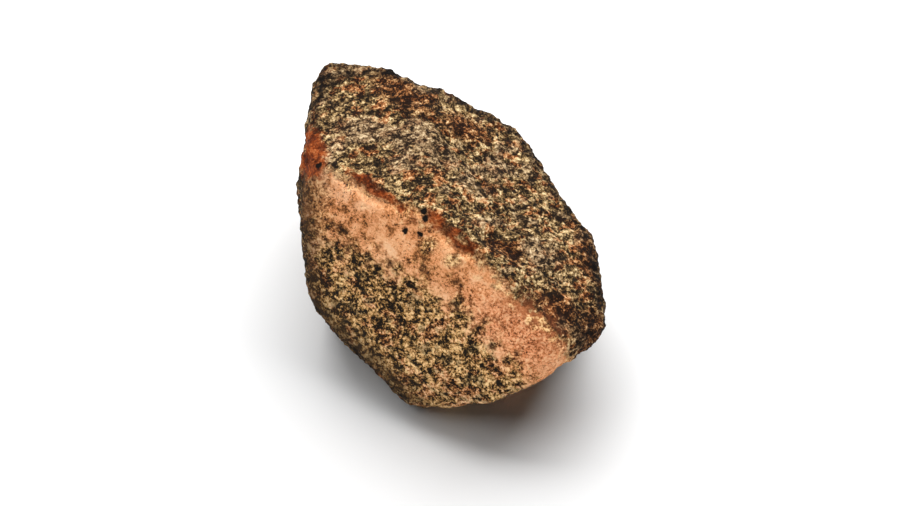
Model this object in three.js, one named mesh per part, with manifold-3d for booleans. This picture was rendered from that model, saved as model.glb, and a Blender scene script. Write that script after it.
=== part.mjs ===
// A fist-sized rough lump of pink granite, about 109 x 118 x 69 mm, resting on a flat break.
// It is one solid: a body bounded by joint faces and old breaks, with worn edges and an uneven skin.
// Ledges, hollows, flakes and pits are struck out of it with flattened balls.
// Millimetres, +Z up, origin under the middle of the stone, on the surface that it rests on.
import * as THREE from "three";
import { mergeVertices } from "three/addons/utils/BufferGeometryUtils.js";
import { ImprovedNoise } from "three/addons/math/ImprovedNoise.js";
import Module from "manifold-3d";

// The heart of the stone is the point that every face and every place on it is measured from.
const HEART_HEIGHT = 34;

// Each face looks out along a bearing (degrees anticlockwise from +X, seen from above) and a rise
// (degrees above the horizon), and lies at its reach in millimetres from the heart.
// A fresh face is a younger, calmer break than the weathered ones.
const FACES = [
  { name: "top", bearing: 100, rise: 86, reach: 34.5 },
  { name: "front break, upper band", bearing: 244, rise: 39, reach: 34.0, fresh: true },
  { name: "front break, lower part", bearing: 240, rise: 32, reach: 35.5, fresh: true },
  { name: "weathered right slope", bearing: 18, rise: 60, reach: 26.5 },
  { name: "slope above the nose", bearing: 354, rise: 54, reach: 33.5 },
  { name: "left side", bearing: 173, rise: -10, reach: 53.0 },
  { name: "stained left joint", bearing: 186, rise: 34, reach: 57.9 },
  { name: "back-left side", bearing: 172, rise: 11, reach: 63.5 },
  { name: "back-left corner", bearing: 132, rise: 23, reach: 79.0 },
  { name: "back", bearing: 76, rise: 2, reach: 44.5 },
  { name: "back-right side", bearing: 60, rise: 1, reach: 49.0 },
  { name: "right side", bearing: 35, rise: 1, reach: 39.2 },
  { name: "right end", bearing: 9, rise: -6, reach: 47.2 },
  { name: "nose", bearing: 343, rise: -25, reach: 62.0 },
  { name: "chin of the nose", bearing: 302, rise: 10, reach: 63.7 },
  { name: "under the nose", bearing: 308, rise: -38, reach: 52.8 },
  { name: "front lip", bearing: 269, rise: -8, reach: 62.2 },
  { name: "front undercut", bearing: 276, rise: -41, reach: 61.0 },
  { name: "front-left undercut", bearing: 219, rise: -32, reach: 56.8 },
  { name: "left undercut", bearing: 205, rise: -27, reach: 57.7 },
  { name: "back foot", bearing: 95, rise: -42, reach: 52.0 },
  { name: "left foot", bearing: 160, rise: -40, reach: 56.0 },
  { name: "right foot", bearing: 25, rise: -44, reach: 48.0 },
];
const EDGE_SHARPNESS = 26; // the higher, the tighter the worn edges between the faces

// The skin swells and dips in three sizes of waves: how long each is, how high, and where it starts.
const SKIN_WAVES = [
  { length: 34, height: 1.7, start: new THREE.Vector3(0, 0, 0.5) },
  { length: 15, height: 1.0, start: new THREE.Vector3(7.3, 2.1, 0.5) },
  { length: 8, height: 0.6, start: new THREE.Vector3(14.6, 4.2, 0.5) },
];
const FRESH_CALM = 0.5; // how much lower the waves are on a fresh face
const SKIN_DETAIL = 18; // how often each edge of the starting icosahedron is divided
const EVENING_ROUNDS = 12;

// Spalls are shallow scoops: a flattened ball struck into the stone at a place on its skin. A place
// is a bearing and a rise from the heart. Turn is the heading of the scoop's length, anticlockwise
// from level, and tip leans the scoop so that its upper rim (or, below zero, its lower) is steeper.
const SPALLS = [
  { name: "stained ledge, left", bearing: 187, rise: 49, long: 27, wide: 8, depth: 1.5, turn: -2, tip: 12 },
  { name: "stained ledge, middle", bearing: 268, rise: 56, long: 27, wide: 8, depth: 1.6, turn: -13, tip: 12 },
  { name: "ledge, lower end", bearing: 300, rise: 25, long: 36, wide: 10, depth: 1.3, turn: -27, tip: 8 },
  { name: "hollow on the slope", bearing: 313, rise: 45, long: 30, wide: 12, depth: 1.5, turn: 55, tip: 0 },
  { name: "furrow by the back rim, upper", bearing: 92, rise: 48, long: 34, wide: 10, depth: 1.0, turn: 50, tip: 0 },
  { name: "furrow by the back rim, lower", bearing: 47, rise: 34, long: 38, wide: 11, depth: 1.1, turn: 47, tip: 0 },
  { name: "nick in the back edge", bearing: 107, rise: 30, long: 30, wide: 16, depth: 2.4, turn: 0, tip: 0 },
  { name: "chip on the lower rim", bearing: 231, rise: -22, long: 15, wide: 8, depth: 1.2, turn: 10, tip: 0 },
  { name: "back flake", bearing: 72, rise: 2, long: 58, wide: 34, depth: 3.0, turn: 25, tip: 5 },
  { name: "left flake", bearing: 184, rise: -12, long: 40, wide: 26, depth: 2.6, turn: 70, tip: 4 },
  { name: "right flake", bearing: 22, rise: -8, long: 44, wide: 24, depth: 2.6, turn: -15, tip: -5 },
  { name: "foot flake", bearing: 300, rise: -32, long: 34, wide: 22, depth: 2.0, turn: 15, tip: 0 },
];
const SPALL_DETAIL = 6;
const SPALL_UNEVENNESS = 0.1; // how far the ball's radius wanders, as a share of it
const SPALL_WAVE = 0.35; // the length of those waves, as a share of the radius
const SPALL_FATNESS = 3; // half the ball's thickness, as a multiple of the depth that it bites

// Pits are small round holes left by grains that fell out.
const PITS = [
  { name: "lower left pit", bearing: 219, rise: 49.5, across: 2.2 },
  { name: "lower right pit", bearing: 233, rise: 53.5, across: 2.0 },
  { name: "upper pit", bearing: 225, rise: 66.5, across: 2.2 },
  { name: "middle pit", bearing: 232, rise: 64, across: 2.0 },
  { name: "left corner pit", bearing: 168, rise: 32, across: 2.6 },
];
const PIT_DETAIL = 1;

const CUT_SIDE = 400; // the block that cuts the resting face flat is larger than any stone
const GRANITE_PINK = [0.62, 0.45, 0.31];

const UP = new THREE.Vector3(0, 0, 1);
const HEART = UP.clone().multiplyScalar(HEART_HEIGHT);
const radians = THREE.MathUtils.degToRad;
const noise = new ImprovedNoise();
const wasm = await Module();
wasm.setup();

function lookingOut(bearing, rise) {
  const level = Math.cos(radians(rise));
  const east = level * Math.cos(radians(bearing));
  const north = level * Math.sin(radians(bearing));
  return new THREE.Vector3(east, north, Math.sin(radians(rise)));
}

const faces = FACES.map(({ bearing, rise, reach, fresh = false }) => ({
  normal: lookingOut(bearing, rise),
  reach,
  fresh,
}));

// The bare faces in one direction from the heart: how far out they lie with their worn edges, which
// way they look there, and how fresh they are, from 0 to 1.
function bareStone(direction) {
  let sum = 0;
  let freshSum = 0;
  const outward = new THREE.Vector3();
  for (const { normal, reach, fresh } of faces) {
    const share = Math.max(0, normal.dot(direction) / reach) ** EDGE_SHARPNESS;
    if (share === 0) continue;
    sum += share;
    if (fresh) freshSum += share;
    outward.addScaledVector(normal, share / normal.dot(direction));
  }
  return { reach: sum ** (-1 / EDGE_SHARPNESS), outward: outward.normalize(), freshness: freshSum / sum };
}

function waveHeight(place) {
  const heights = SKIN_WAVES.map(({ length, height, start }) => {
    const { x, y, z } = place.clone().divideScalar(length).add(start);
    return height * noise.noise(x, y, z);
  });
  return heights.reduce((sum, height) => sum + height, 0);
}

// Where the stone's skin lies in one direction from the heart, measured from the heart.
function skinPoint(direction) {
  const { reach, freshness } = bareStone(direction);
  const wave = waveHeight(direction.clone().multiplyScalar(reach));
  return direction.clone().multiplyScalar(reach + wave * (1 - FRESH_CALM * freshness));
}

// A place on the skin, with its outward direction and two directions along the skin: one level and
// then turned, the other across it.
function placeOnSkin({ bearing, rise, turn = 0 }) {
  const direction = lookingOut(bearing, rise);
  const { outward } = bareStone(direction);
  const along = UP.clone().cross(outward).normalize().applyAxisAngle(outward, radians(turn));
  const across = outward.clone().cross(along);
  return { point: skinPoint(direction).add(HEART), outward, along, across };
}

function withMergedPoints(geometry) {
  geometry.deleteAttribute("normal");
  geometry.deleteAttribute("uv");
  return mergeVertices(geometry, 1e-5);
}

// A geometry with each of its points put where the given function moves it.
function withMovedPoints(geometry, moved) {
  const places = geometry.getAttribute("position");
  for (let i = 0; i < places.count; i += 1) {
    const { x, y, z } = moved(new THREE.Vector3().fromBufferAttribute(places, i), i);
    places.setXYZ(i, x, y, z);
  }
  return geometry;
}

function neighboursOf(index, count) {
  const neighbours = Array.from({ length: count }, () => new Set());
  for (let i = 0; i < index.count; i += 3) {
    const corners = [index.getX(i), index.getX(i + 1), index.getX(i + 2)];
    corners.forEach((corner, k) => neighbours[corner].add(corners[(k + 1) % 3]));
  }
  return neighbours;
}

// The body: an icosahedron whose finely divided points are pushed out to the skin, then evened out
// by drawing each point towards the middle of its neighbours and pushing it out again.
function bodyGeometry() {
  const ball = withMergedPoints(new THREE.IcosahedronGeometry(1, SKIN_DETAIL));
  const neighbours = neighboursOf(ball.index, ball.getAttribute("position").count);
  let points = [];
  withMovedPoints(ball, (place, i) => (points[i] = skinPoint(place.normalize())));
  for (let round = 0; round < EVENING_ROUNDS; round += 1) {
    points = neighbours.map((near) => {
      const middle = new THREE.Vector3();
      near.forEach((k) => middle.add(points[k]));
      return skinPoint(middle.normalize());
    });
  }
  return withMovedPoints(ball, (_, i) => points[i].clone().add(HEART));
}

// What a spall takes away: a flattened, slightly uneven ball, sunk to its depth.
function spallCutter({ long, wide, depth, tip, ...place }) {
  const { point, outward, along, across } = placeOnSkin(place);
  outward.applyAxisAngle(along, radians(tip));
  across.applyAxisAngle(along, radians(tip));
  const thick = SPALL_FATNESS * depth;
  const rimShare = Math.sqrt(1 - (1 - depth / thick) ** 2);
  const ball = withMergedPoints(new THREE.IcosahedronGeometry(1, SPALL_DETAIL));
  withMovedPoints(ball, (spot) => {
    const { x, y, z } = spot.clone().divideScalar(SPALL_WAVE).addScalar(place.bearing);
    return spot.multiplyScalar(1 + SPALL_UNEVENNESS * noise.noise(x, y, z));
  });
  const centre = point.addScaledVector(outward, thick - depth);
  return ball
    .scale(long / 2 / rimShare, wide / 2 / rimShare, thick)
    .applyMatrix4(new THREE.Matrix4().makeBasis(along, across, outward).setPosition(centre));
}

function pitCutter({ across, ...place }) {
  const { point } = placeOnSkin(place);
  const ball = new THREE.IcosahedronGeometry(across / 2, PIT_DETAIL);
  return withMergedPoints(ball).translate(...point);
}

function restingCutter() {
  const block = new THREE.BoxGeometry(CUT_SIDE, CUT_SIDE, CUT_SIDE);
  return withMergedPoints(block).translate(0, 0, -CUT_SIDE / 2);
}

function solidOf(geometry) {
  const vertProperties = new Float32Array(geometry.getAttribute("position").array);
  const triVerts = new Uint32Array(geometry.index.array);
  return new wasm.Manifold(new wasm.Mesh({ numProp: 3, vertProperties, triVerts }));
}

function geometryOf(solid) {
  const { vertProperties, triVerts } = solid.getMesh();
  const geometry = new THREE.BufferGeometry();
  geometry.setAttribute("position", new THREE.BufferAttribute(vertProperties, 3));
  geometry.setIndex(new THREE.BufferAttribute(triVerts, 1));
  geometry.computeVertexNormals();
  return geometry;
}

// The stone: the body, less what the spalls and pits took and what would lie below the surface that
// it rests on, moved so that its middle is over the origin.
function stoneGeometry() {
  const cutters = [...SPALLS.map(spallCutter), ...PITS.map(pitCutter), restingCutter()];
  const body = solidOf(bodyGeometry());
  const geometry = geometryOf(cutters.reduce((left, cutter) => left.subtract(solidOf(cutter)), body));
  geometry.computeBoundingBox();
  const middle = geometry.boundingBox.getCenter(new THREE.Vector3());
  return geometry.translate(-middle.x, -middle.y, 0);
}

const stoneMaterial = new THREE.MeshStandardMaterial({
  color: new THREE.Color(...GRANITE_PINK),
  roughness: 0.85,
  metalness: 0,
});

const rock = new THREE.Mesh(stoneGeometry(), stoneMaterial);
rock.name = "rock";

const stone = new THREE.Group();
stone.add(rock);

export default stone;
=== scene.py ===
import math

import bpy
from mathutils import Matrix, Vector


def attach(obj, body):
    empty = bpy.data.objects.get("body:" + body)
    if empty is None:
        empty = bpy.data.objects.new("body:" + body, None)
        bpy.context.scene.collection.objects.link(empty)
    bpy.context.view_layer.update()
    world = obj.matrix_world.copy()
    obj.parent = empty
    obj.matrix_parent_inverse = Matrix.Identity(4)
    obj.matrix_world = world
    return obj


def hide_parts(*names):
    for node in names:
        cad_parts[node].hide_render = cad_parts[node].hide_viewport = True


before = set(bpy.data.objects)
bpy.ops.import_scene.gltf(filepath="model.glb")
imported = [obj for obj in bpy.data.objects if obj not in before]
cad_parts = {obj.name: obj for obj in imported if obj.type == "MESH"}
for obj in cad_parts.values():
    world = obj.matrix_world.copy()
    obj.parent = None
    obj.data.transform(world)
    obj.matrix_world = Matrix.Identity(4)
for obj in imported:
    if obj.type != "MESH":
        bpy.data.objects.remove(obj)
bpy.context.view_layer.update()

# The stone. The real one is a single lump of pink granite, broken out along its joints, chipped by
# frost and knocks, and worn. Here a copy of the solid has its facets worn round, and its skin is
# divided into squares small enough to hold the relief of the grains.
MM = 0.001
MERGING_GAP = 0.01 * MM
SKIN_SQUARE = 0.7 * MM
WEARING_ROUNDS = 3

stone = bpy.data.objects.new("stone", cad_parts["rock"].data.copy())
bpy.context.scene.collection.objects.link(stone)
bpy.ops.object.select_all(action="DESELECT")
stone.select_set(True)
bpy.context.view_layer.objects.active = stone
bpy.ops.object.mode_set(mode="EDIT")
bpy.ops.mesh.select_all(action="SELECT")
bpy.ops.mesh.remove_doubles(threshold=MERGING_GAP)
bpy.ops.object.mode_set(mode="OBJECT")


def work_in(kind, **settings):
    """Works one modifier into the stone's mesh."""
    modifier = stone.modifiers.new(kind.title(), kind)
    for name, value in settings.items():
        setattr(modifier, name, value)
    bpy.ops.object.modifier_apply(modifier=modifier.name)


work_in("SUBSURF", levels=2, render_levels=2)
work_in("REMESH", mode="VOXEL", voxel_size=SKIN_SQUARE, use_smooth_shade=True)
work_in("SMOOTH", factor=0.5, iterations=WEARING_ROUNDS)

# The relief of its skins. The old skin is a crust of standing grains with gaps weathered out between
# them, over low lumps and hollows. The fresh break at the front is calmer and only swells a little,
# and the break that the stone rests on stays flat.
BREAK_LOOKS = Vector((-0.36, -0.70, 0.62)).normalized()
BARELY_FACING = 0.6
FULLY_FACING = 0.85
CRUST_EDGE_START = Vector((-47.0, 11.0, 0)) * MM
CRUST_EDGE_END = Vector((42.5, -47.5, 0)) * MM
EDGE_FADE = 1 * MM
RESTING_SKIN = 0.3 * MM


def share(value, low, high):
    """Goes from 0, where the value is low, to 1, where it is high."""
    return min(max((value - low) / (high - low), 0), 1)


def freshness(point):
    """How far a point of the skin belongs to the fresh break, from 0 to 1."""
    run = (CRUST_EDGE_END - CRUST_EDGE_START).normalized()
    behind = run.cross(point.co - CRUST_EDGE_START).z
    facing = share(point.normal.dot(BREAK_LOOKS), BARELY_FACING, FULLY_FACING)
    return facing * share(behind, EDGE_FADE, -EDGE_FADE)


def relief(skin, size, height):
    """Raises lumps that are size across and height high on one of the skins."""
    texture = bpy.data.textures.new(f"{skin} lumps", "CLOUDS")
    texture.noise_scale = size
    texture.noise_depth = 1
    work_in("DISPLACE", texture=texture, texture_coords="LOCAL", strength=height, vertex_group=skin)


crust_skin = stone.vertex_groups.new(name="crust")
fresh_skin = stone.vertex_groups.new(name="fresh break")
for point in stone.data.vertices:
    if point.co.z > RESTING_SKIN:
        fresh = freshness(point)
        crust_skin.add([point.index], 1 - fresh, "REPLACE")
        fresh_skin.add([point.index], fresh, "REPLACE")

relief("crust", 8 * MM, 2.1 * MM)
relief("fresh break", 11 * MM, 0.9 * MM)
bare = [point.co + point.normal * MM for point in stone.data.vertices]
relief("crust", 3.2 * MM, 1.2 * MM)
relief("crust", 1.6 * MM, 0.8 * MM)
relief("fresh break", 1.8 * MM, 0.25 * MM)

# How far each point now stands out of its skin in millimetres, measured from a place one millimetre
# above the bare skin. The finish reads it.
heights = stone.data.attributes.new("standing", "FLOAT", "POINT")
for point, above in zip(stone.data.vertices, bare):
    heights.data[point.index].value = 1 - (above - point.co).length / MM

# The break that it rests on is pressed level.
bpy.ops.object.mode_set(mode="EDIT")
bpy.ops.mesh.select_all(action="DESELECT")
bpy.ops.object.mode_set(mode="OBJECT")
for point in stone.data.vertices:
    point.select = point.co.z < RESTING_SKIN
bpy.ops.object.mode_set(mode="EDIT")
bpy.ops.transform.resize(value=(1, 1, 0), center_override=(0, 0, 0))
bpy.ops.object.mode_set(mode="OBJECT")

# The granite itself: peach feldspar, cream and grey quartz and black mica in grains of one to two
# millimetres. The fresh break shows them clean. The old skin is bleached, browned and rust-stained.
HEART = (0.5, 1.5, 34.0)
STONE_ROUGHNESS = 0.9
MICA_GLOSS = 0.3
STONE_SPECULAR = 0.15
GRAIN_RELIEF = 0.5 * MM

# The crust's edge as seen from above in millimetres, how far its curve spans to each side, and how
# much of a step to the back leads straight away from it, because it runs aslant.
CRUST_EDGE = [(-60, 20), (-47, 11.5), (-27, 0.3), (-7.6, -10.5), (8, -22.3), (28.7, -40.5), (60, -57)]
EDGE_SPAN = 60
EDGE_SLANT = 0.83

# The sides, where the colour is painted darker as shade and grime: each looks to a bearing and so
# many degrees up, at a reach from the heart.
SIDE_FACES = [(173, -10, 50.5), (205, -27, 55.5), (219, -32, 54.5), (172, 11, 60.5), (132, 23, 73)]
SIDE_FACES += [(76, 2, 43.5), (60, 1, 48), (35, 1, 39.3), (9, -6, 47.6), (343, -25, 61)]
SIDE_FACES += [(308, -38, 55), (276, -41, 63.5)]

# The stains and the painted dark corners: each has its centre and size in millimetres, and an angle
# where it is turned.
BLEACHED = [((-9, 18, 66), (13, 7, 6), -20), ((8, 8, 59), (9, 6, 6))]
BLEACHED += [((-33, 26, 67), (9, 6, 6)), ((32, -16, 50), (7, 8, 6))]
BROWNED = [((-17, 42, 65), (12, 6, 6), -35), ((5, 32, 57), (11, 5, 7)), ((18, -19, 57), (8, 4, 6))]
BROWNED += [((36, -38, 47), (9, 8, 7)), ((48, -8, 38), (4, 11, 9)), ((50, -41, 36), (9, 9, 9))]
# Dark corners: painted shade on the nose's down-turned facet, and partly grime, partly painted shade
# at the top and left rims.
SHADE_AND_GRIME_CORNERS = [((49, -42, 38), (8, 8, 10)), ((-36, 56, 60), (14, 4.5, 8))]
SHADE_AND_GRIME_CORNERS += [((-50, 40, 58), (5, 14, 8))]
MICA_KNOTS = [((0.3, -23.5, 59.6), (3.4, 2.4, 4)), ((-9, -18.5, 60), (4, 2.4, 4))]
RUSTY_JOINT = ((-50, 17, 63), (6.5, 12, 8), 12)
RUST_STREAKS = [((-32, 4, 68), (6, 1.8, 5), -31), ((-24, -1.5, 68), (7, 1.5, 5), -31)]
RUST_STREAKS += [((-16, -9, 67), (5, 1.8, 5), -52), ((-5.5, -12, 66.5), (5, 2.2, 5), -50)]
RUST_STREAKS += [((3, -18.5, 63.5), (7, 2.2, 5), -36)]
PIT_PLACES = [(-16.4, -13, 60.9), (-11.1, -14.6, 61.5), (-9.7, -9.1, 67.9), (-9.4, -11.3, 66.9)]
PIT_PLACES += [(-46.8, 10.9, 65.8)]
PIT_SIZE = (1.2, 1.2, 1.6)


class Wire:
    """A socket of the stone's finish. Sums and products of wires add their Math nodes."""

    def __init__(self, tree, socket=None):
        self.tree = tree
        self.socket = socket

    def node(self, kind, settings=None, sockets=None, output=0):
        """Adds a node, makes its settings, then fills its sockets with values or wires."""
        made = self.tree.nodes.new("ShaderNode" + kind)
        for name, value in (settings or {}).items():
            if name == "stops":
                set_stops(made.color_ramp, value)
            elif name == "curve":
                set_curve(made.mapping, value)
            else:
                setattr(made, name, value)
        for name, value in (sockets or {}).items():
            if isinstance(value, Wire):
                self.tree.links.new(value.socket, made.inputs[name])
            else:
                made.inputs[name].default_value = value
        return Wire(self.tree, made.outputs[output] if made.outputs else None)

    def maths(self, operation, first, second):
        return self.node("Math", {"operation": operation}, {0: first, 1: second})

    def __add__(self, other):
        return self.maths("ADD", self, other)

    __radd__ = __add__

    def __sub__(self, other):
        return self.maths("SUBTRACT", self, other)

    def __rsub__(self, other):
        return self.maths("SUBTRACT", other, self)

    def __mul__(self, other):
        return self.maths("MULTIPLY", self, other)

    __rmul__ = __mul__


def set_stops(ramp, stops):
    """Gives a colour ramp its stops, each a place along it and a colour."""
    for element, (along, colour) in ((ramp.elements[0], stops[0]), (ramp.elements[-1], stops[-1])):
        element.position = along
        element.color = colour
    for along, colour in stops[1:-1]:
        ramp.elements.new(along).color = colour


def set_curve(mapping, points):
    """Draws a curve through points, whose first and last are its two ends."""
    curve = mapping.curves[0]
    curve.points[0].location = points[0]
    curve.points[-1].location = points[-1]
    for along, height in points[1:-1]:
        curve.points.new(along, height)
    mapping.update()


def paint(red, green, blue):
    """A colour as it is read off a screen, from 0 to 255, made linear."""
    linear = [((part / 255 + 0.055) / 1.055) ** 2.4 for part in (red, green, blue)]
    return (*linear, 1)


def larger(first, second):
    return first.maths("MAXIMUM", first, second)


def rise(value, low, high):
    """Goes smoothly from 0, where the value is low, to 1, where it is high."""
    sockets = {"Value": value, "From Min": low, "From Max": high}
    return value.node("MapRange", {"interpolation_type": "SMOOTHSTEP"}, sockets)


def blend(under, over, cover):
    """Lays one colour over another, by a cover from 0 to 1."""
    return cover.node("Mix", {"data_type": "RGBA"}, {0: cover, 6: under, 7: over}, 2)


def ramp(value, *stops):
    return value.node("ValToRGB", {"stops": stops}, {"Fac": value})


def vector(operation, first, second, output=0):
    return first.node("VectorMath", {"operation": operation}, {0: first, 1: second}, output)


def part_of(value, index):
    """One of the three numbers of a place or a colour."""
    return value.node("SeparateXYZ", None, {"Vector": value}, index)


def noise(place, size, detail=2, roughness=0.5, output="Fac"):
    sockets = {"Vector": place, "Scale": 1 / size, "Detail": detail, "Roughness": roughness}
    return place.node("TexNoise", None, sockets, output)


def stirred(place, size, amount, detail=1):
    """A place shifted by up to about half the amount, differently at each place."""
    drift = vector("SUBTRACT", noise(place, size, detail, output="Color"), (0.5, 0.5, 0.5))
    return vector("ADD", place, vector("MULTIPLY", drift, (amount, amount, amount)))


def grains(place, size):
    """Cells of a size, each with a colour of its own."""
    return place.node("TexVoronoi", None, {"Vector": place, "Scale": 1 / size}, "Color")


def share_of_face(place, bearing, up, reach):
    """How nearly a place is on a face that looks to a bearing and up: 1 when it is."""
    level = math.cos(math.radians(up)) / reach
    east = level * math.cos(math.radians(bearing))
    north = level * math.sin(math.radians(bearing))
    looks = (east, north, math.sin(math.radians(up)) / reach)
    return vector("DOT_PRODUCT", vector("SUBTRACT", place, HEART), looks, "Value")


def turned(place, centre, turn, size):
    """A place as it is seen from a centre by something of a size that is turned by some degrees."""
    sockets = {"Vector": place, "Location": centre, "Scale": size}
    sockets["Rotation"] = (0, 0, math.radians(turn))
    return place.node("Mapping", {"vector_type": "TEXTURE"}, sockets)


def patch(place, centre, size, turn=0, soft=0.4):
    """A patch of stain or painted shade of a size about a centre: 1 in its middle, 0 outside, turned
    when seen from above.
    """
    near = turned(place, centre, turn, size)
    return rise(vector("LENGTH", near, (0, 0, 0), "Value"), 1 + soft, 1 - soft)


def patches(place, spots, soft=0.4):
    """Several patches of stain or painted shade as one cover."""
    cover = patch(place, *spots[0], soft=soft)
    for spot in spots[1:]:
        cover = larger(cover, patch(place, *spot, soft=soft))
    return cover


material = bpy.data.materials.new("granite")
material.use_nodes = True
material.node_tree.nodes.clear()
start = Wire(material.node_tree)
metres = start.node("TexCoord", output="Object")
place = vector("MULTIPLY", metres, (1 / MM, 1 / MM, 1 / MM))
drifting = stirred(place, 6, 5, detail=4)
standing = start.node("Attribute", {"attribute_name": "standing"}, output="Fac")

# Where the skins lie: how far behind the crust's edge a place is, and how near the sides that are
# painted darker.
along = part_of(drifting, 0) * (0.5 / EDGE_SPAN) + 0.5
curve = [((x / EDGE_SPAN + 1) / 2, (y / EDGE_SPAN + 1) / 2) for x, y in CRUST_EDGE]
edge = (start.node("FloatCurve", {"curve": curve}, {"Value": along}) * 2 - 1) * EDGE_SPAN
behind_edge = (part_of(drifting, 1) - edge) * EDGE_SLANT

chipped = stirred(place, 5, 3, detail=3)
side = share_of_face(chipped, *SIDE_FACES[0])
for face in SIDE_FACES[1:]:
    side = larger(side, share_of_face(chipped, *face))

# The grains: specks, fine crystals, whole grains, knots of grains and wide drifts of them.
fine = noise(stirred(place, 0.9, 0.8), 0.8, 2, 0.6)
medium = noise(stirred(place, 2, 1.5), 1.9, 2, 0.6)
specks = noise(place, 0.42, 1) - 0.5
knots = noise(place, 5, 3, 0.55)
wide = noise(place, 14, 3, 0.55)
behind_edge = behind_edge + (medium - 0.5) * 4 + (knots - 0.5) * 4
# Painted shade and grime: the crust is painted dark near the sides and at the dark corners.
rim_shade_and_grime = larger(rise(side, 0.89, 0.965), patches(drifting, SHADE_AND_GRIME_CORNERS, 0.6) * 0.75)
crusted = larger(rise(behind_edge, -0.9, 0.9), rise(side + (medium - 0.5) * 0.06, 0.955, 0.975))

# The fresh break: salmon and peach feldspar, with black mica thick at the lower left and only a few
# flakes of it in the band under the crust.
peach = ramp(
    fine * 0.7 + medium * 0.5 + knots * 0.85 + wide * 0.8 + specks * 0.25 - 0.92,
    (0.26, paint(148, 92, 50)),
    (0.38, paint(196, 126, 76)),
    (0.5, paint(228, 156, 104)),
    (0.62, paint(241, 177, 127)),
    (0.78, paint(247, 196, 150)),
)
buff = paint(168, 118, 74)
clouded = noise(place, 4, 4, 0.65)
peach = blend(peach, buff, rise(clouded, 0.56, 0.72) * 0.3)
salmon = patch(drifting, (22, -45, 45), (22, 7, 14), turn=-35, soft=0.7)
salmon_grain = ramp(
    fine * 1.4 + medium * 0.9 - 0.65,
    (0.25, paint(124, 62, 32)),
    (0.4, paint(208, 122, 76)),
    (0.55, paint(240, 158, 110)),
    (0.75, paint(250, 196, 148)),
)
peach = blend(peach, salmon_grain, salmon * 0.75)
pale_peach = paint(240, 186, 144)
clean = patch(drifting, (-37, 2, 66), (13, 5, 7), turn=-31, soft=0.6)
peach = blend(peach, pale_peach, clean * rise(knots + medium, 0.75, 1.15) * 0.7)

mica_tone = fine * 1.25 + medium * 1.3 + knots * 0.9 + specks * 0.35 - 1.25
mica_tone = mica_tone + rise(along, 0.34, 0.5) * 0.045
cream = ramp(
    mica_tone,
    (0.3, paint(22, 15, 7)),
    (0.37, paint(56, 41, 22)),
    (0.45, paint(108, 80, 44)),
    (0.53, paint(160, 118, 68)),
    (0.62, paint(204, 154, 96)),
    (0.8, paint(250, 212, 152)),
)
pink = ramp(
    mica_tone,
    (0.3, paint(26, 14, 7)),
    (0.37, paint(70, 40, 21)),
    (0.45, paint(124, 78, 44)),
    (0.53, paint(172, 109, 64)),
    (0.62, paint(210, 144, 96)),
    (0.8, paint(250, 206, 160)),
)
grey = ramp(
    mica_tone,
    (0.3, paint(22, 17, 9)),
    (0.42, paint(68, 55, 33)),
    (0.55, paint(128, 104, 68)),
    (0.7, paint(178, 148, 104)),
)
speckled = blend(cream, pink, rise(noise(place, 6, 3), 0.5, 0.62) * 0.8)
speckled = blend(speckled, grey, rise(clouded, 0.52, 0.62) * 0.8)
mica_room = rise(behind_edge + (knots - 0.5) * 20, -10, -19)
mica_room = larger(mica_room, rise(behind_edge + (knots - 0.5) * 10, -4.5, -1) * 0.75)
mica_room = larger(mica_room, rise(along, 0.17, 0.11) * 0.5)
mica_room = larger(mica_room, patches(drifting, MICA_KNOTS, 0.5) * 0.85)

mica_brown = paint(50, 31, 16)
flake_tone = fine * 0.6 + medium * 0.35 + specks * 0.45 + (wide - 0.5) * 0.3
flakes = rise(flake_tone - rise(along, 0.3, 0.1) * 0.03, 0.365, 0.335)
peach = blend(peach, mica_brown, flakes * 0.8)
fresh_colour = blend(peach, speckled, mica_room)
# Painted shade: the fresh break is painted dark brown toward the side faces at the left and lower
# left, where it turns away from the light.
painted_shade_brown = paint(52, 35, 19)
left_side_shade = rise(side, 0.76, 0.97) * rise(along, 0.55, 0.3) * 0.75
fresh_colour = blend(fresh_colour, painted_shade_brown, left_side_shade)

# The old crust: bleached, brown, olive and black grains, drawn out along the stone's faint banding.
# It is palest where water ran off it and brown where iron has soaked in. Its rims are painted dark,
# partly as grime and partly as painted shade where the sides turn away from the light.
banded = turned(stirred(place, 4, 4, 2), (0, 0, 0), 15, (1.6, 1, 1))
tone = fine + noise(banded, 1.5, 2, 0.6) + noise(banded, 3.2, 3, 0.6) * 0.8 + knots * 0.5 - 1.2
coarse = part_of(grains(stirred(banded, 1.2, 1.0), 1.5), 0)
# Grains that stand out are painted lighter and the gaps between them darker: partly grime, partly
# painted shade.
tone = tone + standing * 0.16 + (coarse - 0.5) * rise(along, 0.35, 0.6) * 0.19
bleached = patches(drifting, BLEACHED, 0.6)
browned = patches(drifting, BROWNED, 0.6)
tone = tone + specks * 0.35 - browned * 0.11 - rise(along, 0.45, 0.25) * 0.02
olive = ramp(
    tone,
    (0.28, paint(24, 16, 8)),
    (0.4, paint(70, 52, 29)),
    (0.52, paint(128, 101, 64)),
    (0.64, paint(186, 154, 106)),
    (0.8, paint(240, 214, 164)),
)
brown = ramp(
    tone,
    (0.28, paint(34, 16, 6)),
    (0.4, paint(94, 52, 23)),
    (0.52, paint(154, 94, 51)),
    (0.64, paint(200, 141, 91)),
    (0.8, paint(238, 198, 148)),
)
ashen = ramp(
    tone,
    (0.28, paint(34, 23, 14)),
    (0.4, paint(84, 64, 45)),
    (0.52, paint(138, 111, 80)),
    (0.64, paint(174, 145, 110)),
    (0.8, paint(218, 194, 156)),
)
iron = noise(banded, 3.6, 4, 0.65)
crust_colour = blend(olive, brown, larger(rise(iron, 0.5, 0.6), browned * 0.8))
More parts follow.
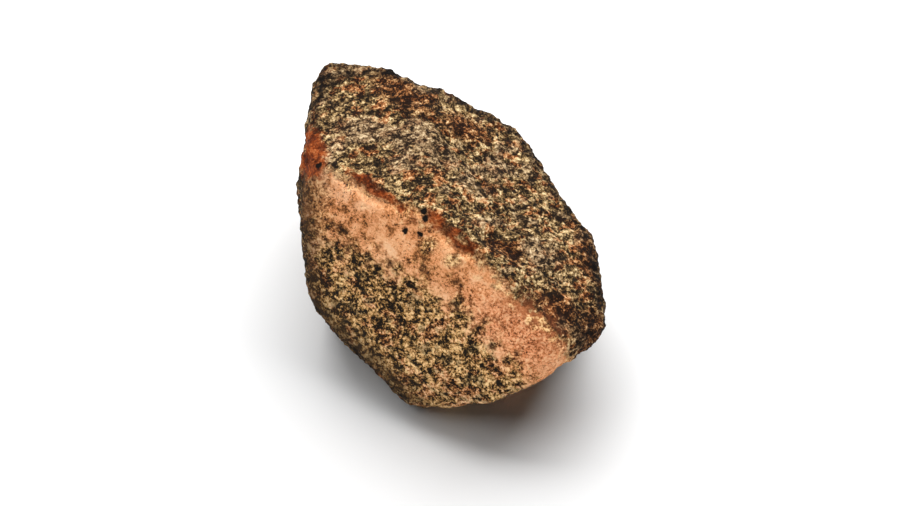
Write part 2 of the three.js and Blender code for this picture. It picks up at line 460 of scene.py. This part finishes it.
crust_colour = blend(crust_colour, ashen, rise(noise(banded, 8, 3), 0.52, 0.64) * 0.7)
crust_colour = blend(crust_colour, ashen, bleached * 0.75 * rise(knots, 0.35, 0.5))
grime_and_shade = ramp(
    tone,
    (0.28, paint(12, 7, 3)),
    (0.42, paint(30, 19, 10)),
    (0.54, paint(50, 33, 18)),
    (0.66, paint(84, 61, 37)),
    (0.8, paint(132, 102, 66)),
)
# The rims and dark corners are painted dark: partly grime, partly painted shade where the sides turn
# away from the light.
crust_colour = blend(crust_colour, grime_and_shade, rim_shade_and_grime * (0.5 + rise(knots, 0.65, 0.35) * 0.4))

colour = blend(fresh_colour, crust_colour, crusted)

# Rust has run out of the joints and lies on the ledges under the crust's edge. Mica has fallen out of
# the round pits, and they are painted black as painted shade in their hollows.
rust = larger(patch(drifting, *RUSTY_JOINT, soft=0.2), patches(drifting, RUST_STREAKS))
rust = rust * rise(noise(place, 6, 4, 0.6), 0.35, 0.48)
rust_colour = ramp(
    fine * 0.6 + knots * 0.9 - 0.25,
    (0.3, paint(48, 19, 6)),
    (0.46, paint(106, 43, 13)),
    (0.6, paint(162, 76, 30)),
    (0.78, paint(206, 128, 72)),
)
colour = blend(colour, rust_colour, rust * 0.92)
ruddy_brown = paint(140, 78, 46)
ruddy = patch(drifting, (30, -42, 49), (13, 5.5, 9), turn=-38, soft=0.8)
colour = blend(colour, ruddy_brown, ruddy * rise(medium + knots, 1.2, 0.85) * 0.75)
pit_shade = paint(16, 10, 6)
jagged = stirred(place, 1.2, 1.8, 2)
for centre in PIT_PLACES:
    colour = blend(colour, pit_shade, patch(jagged, centre, PIT_SIZE, soft=0.3))

height = crusted * (fine * 1.2 + medium * 0.8) + (1 - crusted) * (fine * 0.7)
bumped = start.node("Bump", None, {"Height": height, "Distance": GRAIN_RELIEF, "Strength": 1.0})
sockets = {"Base Color": colour, "Normal": bumped, "Specular IOR Level": STONE_SPECULAR}
sockets["Roughness"] = STONE_ROUGHNESS - flakes * MICA_GLOSS
surface = start.node("BsdfPrincipled", None, sockets)
start.node("OutputMaterial", None, {"Surface": surface})

stone.data.materials.clear()
stone.data.materials.append(material)
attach(stone, "root")
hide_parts("rock")

# The floor: a sheet of white card that the stone lies on, wide enough to fill every view.
FLOOR_SIZE = 6.0
CARD_WHITE = (0.9, 0.9, 0.9, 1)
CARD_ROUGHNESS = 0.9

bpy.ops.object.select_all(action="DESELECT")
bpy.ops.mesh.primitive_plane_add(size=FLOOR_SIZE)
floor = bpy.context.active_object
floor.name = "floor"
card = bpy.data.materials.new("white card")
card.use_nodes = True
card.node_tree.nodes["Principled BSDF"].inputs["Base Color"].default_value = CARD_WHITE
card.node_tree.nodes["Principled BSDF"].inputs["Roughness"].default_value = CARD_ROUGHNESS
floor.data.materials.append(card)

# The light: a large soft box overhead and a little behind, and a small weak one in front, light the
# stone alone. Two others light only the card, so that the stone's soft shadow falls to the front and
# to both sides on it. A faint glow comes from the room.
HEART_PLACE = Vector(HEART) * MM
LAMP_DISTANCE = 1.5
ROOM_GLOW = 0.045


def soft_box(name, lit, looks_from, width, height, power):
    """Hangs an oblong lamp that faces the stone's heart and lights one thing."""
    lamp = bpy.data.lights.new(name, "AREA")
    lamp.shape = "RECTANGLE"
    lamp.size = width
    lamp.size_y = height
    lamp.energy = power
    box = bpy.data.objects.new(name, lamp)
    bpy.context.scene.collection.objects.link(box)
    box.location = HEART_PLACE + Vector(looks_from).normalized() * LAMP_DISTANCE
    box.rotation_euler = Vector(looks_from).to_track_quat("Z", "Y").to_euler()
    box.light_linking.receiver_collection = bpy.data.collections.new("lit by the " + name)
    box.light_linking.receiver_collection.objects.link(lit)


soft_box("overhead light", stone, (-0.10, 0.42, 0.91), 2.2, 1.2, 46)
soft_box("front light", stone, (0.26, -0.78, 0.56), 0.6, 0.6, 8.5)
soft_box("back card light", floor, (0.10, 0.66, 0.74), 2.2, 1.1, 53)
soft_box("left card light", floor, (-0.62, 0.16, 0.77), 1.2, 1.2, 7.5)

world = bpy.data.worlds.new("room")
world.use_nodes = True
world.node_tree.nodes["Background"].inputs["Color"].default_value = (1, 1, 1, 1)
world.node_tree.nodes["Background"].inputs["Strength"].default_value = ROOM_GLOW
bpy.context.scene.world = world
bpy.context.scene.view_settings.view_transform = "Standard"

# The camera looks down at 60 degrees from straight in front, through a long lens. The lens and the
# sensor are in millimetres.
LENS = 100
SENSOR_WIDTH = 36
CAMERA_PLACE = (-0.00076, -0.45427, 0.81007)
CAMERA_TILT = math.radians(30)

camera = bpy.data.objects.new("camera", bpy.data.cameras.new("camera"))
camera.data.lens = LENS
camera.data.sensor_width = SENSOR_WIDTH
camera.location = CAMERA_PLACE
camera.rotation_euler = (CAMERA_TILT, 0, 0)
bpy.context.scene.collection.objects.link(camera)
bpy.context.scene.camera = camera
